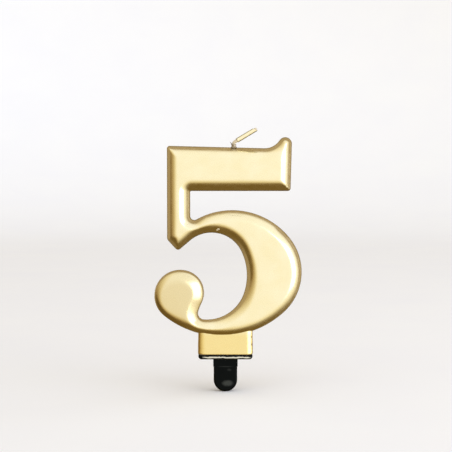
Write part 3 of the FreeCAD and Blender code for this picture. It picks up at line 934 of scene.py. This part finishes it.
def torn_material():
    """The thin, cracked lacquer on the wick, with painted shade along its top and bottom edges and round
    the stub.
    """
    shader = Shader("torn_lacquer", Metallic=1.0)
    axes = shader.axes()
    # painted shade: the lacquer darkens towards the sleeve's top and bottom edges
    aside = shader.math("ABSOLUTE", axes["Y"])
    aside = shader.math("ADD", aside, shader.math("MULTIPLY", shader.noise(0.6 * MM), 0.2 * MM))
    edge_shade = shader.span(aside, EDGE_SHADE_FROM, EDGE_SHADE_FULL)
    # painted shade: darker lacquer round the stub
    stub_shade = shader.span(axes["X"], KINK.x + 1.4 * MM, KINK.x + 0.9 * MM)
    colour = shader.mix(edge_shade, GOLD_LIGHT, GOLD_EDGE_PAINTED_SHADE)
    shader.set("Base Color", shader.mix(stub_shade, colour, GOLD_STUB_PAINTED_SHADE))
    shader.set("Roughness", shader.span(edge_shade, 0.0, 1.0, 0.3, 0.5))
    return shader


def plate_highlight_mask(shader, axes, wobble):
    """One on the wavy painted highlight along the front of the plate."""
    height = shader.math("ADD", axes["Z"], shader.math("MULTIPLY", wobble, 0.9 * MM))
    line = shader.span(height, 0.92 * MM, 1.06 * MM)
    for value, none, full in ((height, 1.54, 1.42), (axes["Y"], -3.3, -3.5),
                              (axes["X"], -8.4, -7.0), (axes["X"], 9.2, 8.2)):
        line = shader.math("MINIMUM", line, shader.span(value, none * MM, full * MM))
    return line


def plastic_material():
    """Black injection-moulded plastic with a flow pattern, dust, a painted highlight along the plate's
    front and painted highlights on the spike.
    """
    shader = Shader("black_plastic", Specular_IOR_Level=0.05)
    axes = shader.axes()
    streaks = shader.noise(1.6 * MM, 4.0, 0.6, (1.0, 1.0, 0.35), 0.8)
    dust = shader.span(shader.noise(0.12 * MM, 2.0), 0.66, 0.75)
    wobble = shader.noise(1.5 * MM, 2.0)
    colour = shader.mix(streaks, PLASTIC_DARK, PLASTIC_LIGHT)
    colour = shader.mix(shader.math("MULTIPLY", dust, 0.06), colour, DUST)
    # painted highlight: a pale wavy line along the plate's front rim
    colour = shader.mix(plate_highlight_mask(shader, axes, wobble), colour, PLATE_PAINTED_HIGHLIGHT)
    front = shader.span(axes["Y"], -0.3 * MM, -0.9 * MM)
    # painted highlights: grey ovals and a line on the front of the spike
    for x, z, half_x, half_z, share in SPIKE_HIGHLIGHT_PATCHES:
        gap = shader.vector("SUBTRACT", shader.place, (x * MM, 0.0, z * MM))
        gap = shader.vector("MULTIPLY", gap, (1.0 / (half_x * MM), 0.0, 1.0 / (half_z * MM)))
        reach = shader.vector("DISTANCE", gap, (0.0, 0.0, 0.0))
        reach = shader.math("ADD", reach, shader.math("MULTIPLY", wobble, 0.7))
        gleam = shader.math("MULTIPLY", shader.span(reach, 1.45, 0.8), front)
        colour = shader.mix(shader.math("MULTIPLY", gleam, share), colour, SPIKE_PAINTED_HIGHLIGHT)
    shader.set("Base Color", colour)
    shader.set("Roughness", shader.span(streaks, 0.3, 0.7, 0.16, 0.3))
    flow = shader.bump(shader.noise(1.9 * MM, 2.0), 0.06 * MM, 0.5)
    shader.set("Normal", shader.bump(shader.noise(0.14 * MM, 2.0), 0.004 * MM, 0.6, flow))
    return shader


def wax_material():
    """Cream paraffin wax, a little translucent."""
    shader = Shader("cream_wax", Roughness=0.48, Subsurface_Weight=0.25, Subsurface_Scale=2.0 * MM,
                    Specular_IOR_Level=0.45, Subsurface_Radius=(1.0, 0.7, 0.45))
    blotches = shader.span(shader.noise(4.0 * MM, 3.0), 0.3, 0.7)
    shader.set("Base Color", shader.mix(blotches, WAX_CREAM, WAX_PALE))
    shader.set("Normal", shader.bump(shader.noise(0.35 * MM, 3.0), 0.02 * MM, 0.6))
    return shader


def cotton_material():
    """Spun cotton stiffened with a little wax: fibres, and a warmer tone where it is soaked."""
    shader = Shader("waxed_cotton", Roughness=0.75, Sheen_Weight=0.25, Sheen_Roughness=0.4,
                    Specular_IOR_Level=0.3)
    fibres = shader.noise(0.09 * MM, 3.0, 0.6, (1.0, 1.0, 0.3), 0.4)
    soaked = shader.span(shader.noise(0.9 * MM, 2.0), 0.35, 0.7)
    colour = shader.mix(shader.span(fibres, 0.3, 0.7), COTTON_DARK, COTTON_LIGHT)
    colour = shader.mix(shader.math("MULTIPLY", soaked, 0.35), colour, COTTON_SOAKED)
    shader.set("Base Color", colour)
    shader.set("Normal", shader.bump(fibres, 0.02 * MM, 0.8))
    return shader


def backdrop_material():
    """Pale matt paper with a faint cloudiness."""
    shader = Shader("pale_backdrop", Roughness=0.9, Specular_IOR_Level=0.1)
    grain = shader.span(shader.noise(60.0 * MM, 2.0), 0.3, 0.7)
    shader.set("Base Color", shader.mix(grain, BACKDROP_COOL, BACKDROP_PALE))
    return shader


# ---------------- the studio
KEY_WAY = (0.58, -0.5, 0.62)   # the brightest part of the sky: upper right, in front
# sky colours from the side away from the key, at 0, to the key itself, at 1
SKY_STOPS = [(0.0, (0.125, 0.08, 0.022)), (0.07, (0.13, 0.081, 0.021)), (0.105, (0.155, 0.094, 0.025)),
             (0.13, (0.236, 0.145, 0.0473)), (0.153, (0.391, 0.273, 0.123)), (0.19, (0.445, 0.327, 0.15)),
             (0.225, (0.5, 0.386, 0.186)), (0.275, (0.582, 0.468, 0.264)), (0.35, (0.691, 0.595, 0.382)),
             (0.45, (0.791, 0.705, 0.5)), (0.545, (0.882, 0.809, 0.636)), (0.65, (0.927, 0.891, 0.8)),
             (0.73, (0.95, 0.936, 0.9)), (1.0, (0.964, 0.964, 0.945))]
# patches of sky: direction, cosines between which the patch fades in, colour
SKY_PATCHES = [((0.0, 1.0, 0.1), 0.5, 0.75, (0.36, 0.265, 0.14)),        # behind the candle
               ((0.0, 0.97, -0.26), 0.93, 0.97, (0.68, 0.64, 0.53)),     # a paler spot within it
               ((0.05, 0.55, -0.83), 0.55, 0.92, (0.15, 0.092, 0.023))]  # below and behind
SKY_STRENGTH = 1.1
SOFTBOX_PLACE = (0.72, -0.34, 0.13)
SOFTBOX_AIM = (0.0, 0.0, 0.045)
SOFTBOX_SIZE = (1.0, 0.85)
SOFTBOX_POWER = 4.1            # watts
FLOOR_FLAT = 0.9               # radius of the level floor
FLOOR_BEND = 0.6               # radius of its curve up into the wall
BACKDROP_SIDES = 72
CAMERA_LENS = 100.0            # millimetres, on a 36 mm sensor
CAMERA_SENSOR = 36.0
CAMERA_AIM = Vector((0.2, 0.0, 47.9)) * MM
CAMERA_RISE = 2.75             # degrees above the horizontal
VIEW_WIDE = 162.7 * MM         # width of the picture at the candle


def studio_world():
    """A soft sky, bright at the upper right front and warm and dim on the other side."""
    world = bpy.data.worlds.new("studio")
    SCENE.world = world
    world.use_nodes = True
    nodes = Nodes(world.node_tree)
    background = next(node for node in nodes.tree.nodes if node.type == "BACKGROUND")
    place = nodes.add("ShaderNodeTexCoord").outputs["Generated"]

    def toward(direction):
        return nodes.vector("DOT_PRODUCT", place, Vector(direction).normalized())

    ramp = nodes.add("ShaderNodeValToRGB", {"Fac": nodes.span(toward(KEY_WAY), -1.0, 1.0)})
    stops = [(position, colour + (1.0,)) for position, colour in SKY_STOPS]
    elements = ramp.color_ramp.elements
    elements[0].position, elements[0].color = stops[0]
    elements[1].position, elements[1].color = stops[-1]
    for position, colour in stops[1:-1]:
        elements.new(position).color = colour
    sky = ramp.outputs["Color"]
    for direction, low, high, colour in SKY_PATCHES:
        share = nodes.span(toward(direction), low, high, interpolation_type="SMOOTHSTEP")
        sky = nodes.mix(share, sky, colour + (1.0,))
    nodes.plug(background.inputs["Color"], sky)
    nodes.plug(background.inputs["Strength"], SKY_STRENGTH)


def make_softbox():
    light = bpy.data.lights.new("side_softbox", "AREA")
    light.shape = "RECTANGLE"
    light.size, light.size_y = SOFTBOX_SIZE
    light.energy = SOFTBOX_POWER
    lamp = bpy.data.objects.new("side_softbox", light)
    lamp.location = SOFTBOX_PLACE
    aim = Vector(SOFTBOX_AIM) - Vector(SOFTBOX_PLACE)
    lamp.rotation_euler = aim.to_track_quat("-Z", "Y").to_euler()
    SCENE.collection.objects.link(lamp)


def make_backdrop(floor_z):
    """A round pale floor that curves up into a wall and a ceiling on every side."""
    top = FLOOR_FLAT + FLOOR_BEND
    profile = [(FLOOR_FLAT * step / 6.0, 0.0) for step in range(1, 7)]
    profile += [(FLOOR_FLAT + FLOOR_BEND * math.sin(a), FLOOR_BEND * (1.0 - math.cos(a)))
                for a in [math.radians(10.0 * step) for step in range(1, 10)]]
    profile += [(top * math.cos(a), FLOOR_BEND + top * math.sin(a))
                for a in [math.radians(9.0 * step) for step in range(1, 10)]]
    angles = [math.tau * side / BACKDROP_SIDES for side in range(BACKDROP_SIDES)]
    rings = [[(radius * math.cos(a), radius * math.sin(a), floor_z + height) for a in angles]
             for radius, height in profile]
    hubs = [(0.0, 0.0, floor_z), (0.0, 0.0, floor_z + FLOOR_BEND + top)]
    vertices, faces = loft(rings, hubs)
    piece = mesh_object("backdrop", vertices, [face[::-1] for face in faces])
    piece.data.shade_smooth()
    backdrop_material().dress(piece)
    # seen by the camera alone, so the sky lights the candle as if it weren't there
    piece.visible_glossy = False
    piece.visible_diffuse = False
    piece.visible_transmission = False
    piece.visible_shadow = False


def make_camera():
    """A long lens in front of the candle, a little above its middle."""
    camera = bpy.data.cameras.new("camera")
    camera.lens = CAMERA_LENS
    camera.sensor_width = CAMERA_SENSOR
    camera.clip_start = 0.01
    camera.clip_end = 10.0
    eye = bpy.data.objects.new("camera", camera)
    elevation = math.radians(CAMERA_RISE)
    distance = VIEW_WIDE * CAMERA_LENS / CAMERA_SENSOR
    eye.location = CAMERA_AIM + distance * Vector((0.0, -math.cos(elevation), math.sin(elevation)))
    eye.rotation_euler = (CAMERA_AIM - eye.location).to_track_quat("-Z", "Y").to_euler()
    SCENE.collection.objects.link(eye)
    SCENE.camera = eye


# ---------------- assembly
skin = make_digit()
unite(skin, make_pedestal())
wax = make_wax(skin)
wick = make_wick()
sleeve = make_sleeve()
collar = make_collar()

holder = frame["nodes"]["spike_holder"]
gold_material().dress(skin)
torn_gold = torn_material()
torn_gold.dress(sleeve)
torn_gold.dress(collar)
cotton_material().dress(wick)
wax_material().dress(wax)
plastic_material().dress(holder)
for piece in (skin, wax, holder):
    piece.visible_glossy = False     # their own reflections would brighten the recesses

for piece, node, body, slot in ((skin, "gold_lacquer_skin", "candle", "gold_lacquer"),
                                (wax, "wax_core", "candle", "wax"),
                                (collar, "wick_collar", "candle", "gold_lacquer"),
                                (sleeve, "wick_tip_sleeve", "free_wick", "gold_lacquer")):
    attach(piece, body)
    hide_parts(node)
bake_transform(wick)
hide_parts("wick_lower", "wick_upper")

studio_world()
SCENE.view_settings.view_transform = "Standard"
make_softbox()
make_backdrop(HOLDER_LOW.z)
make_camera()
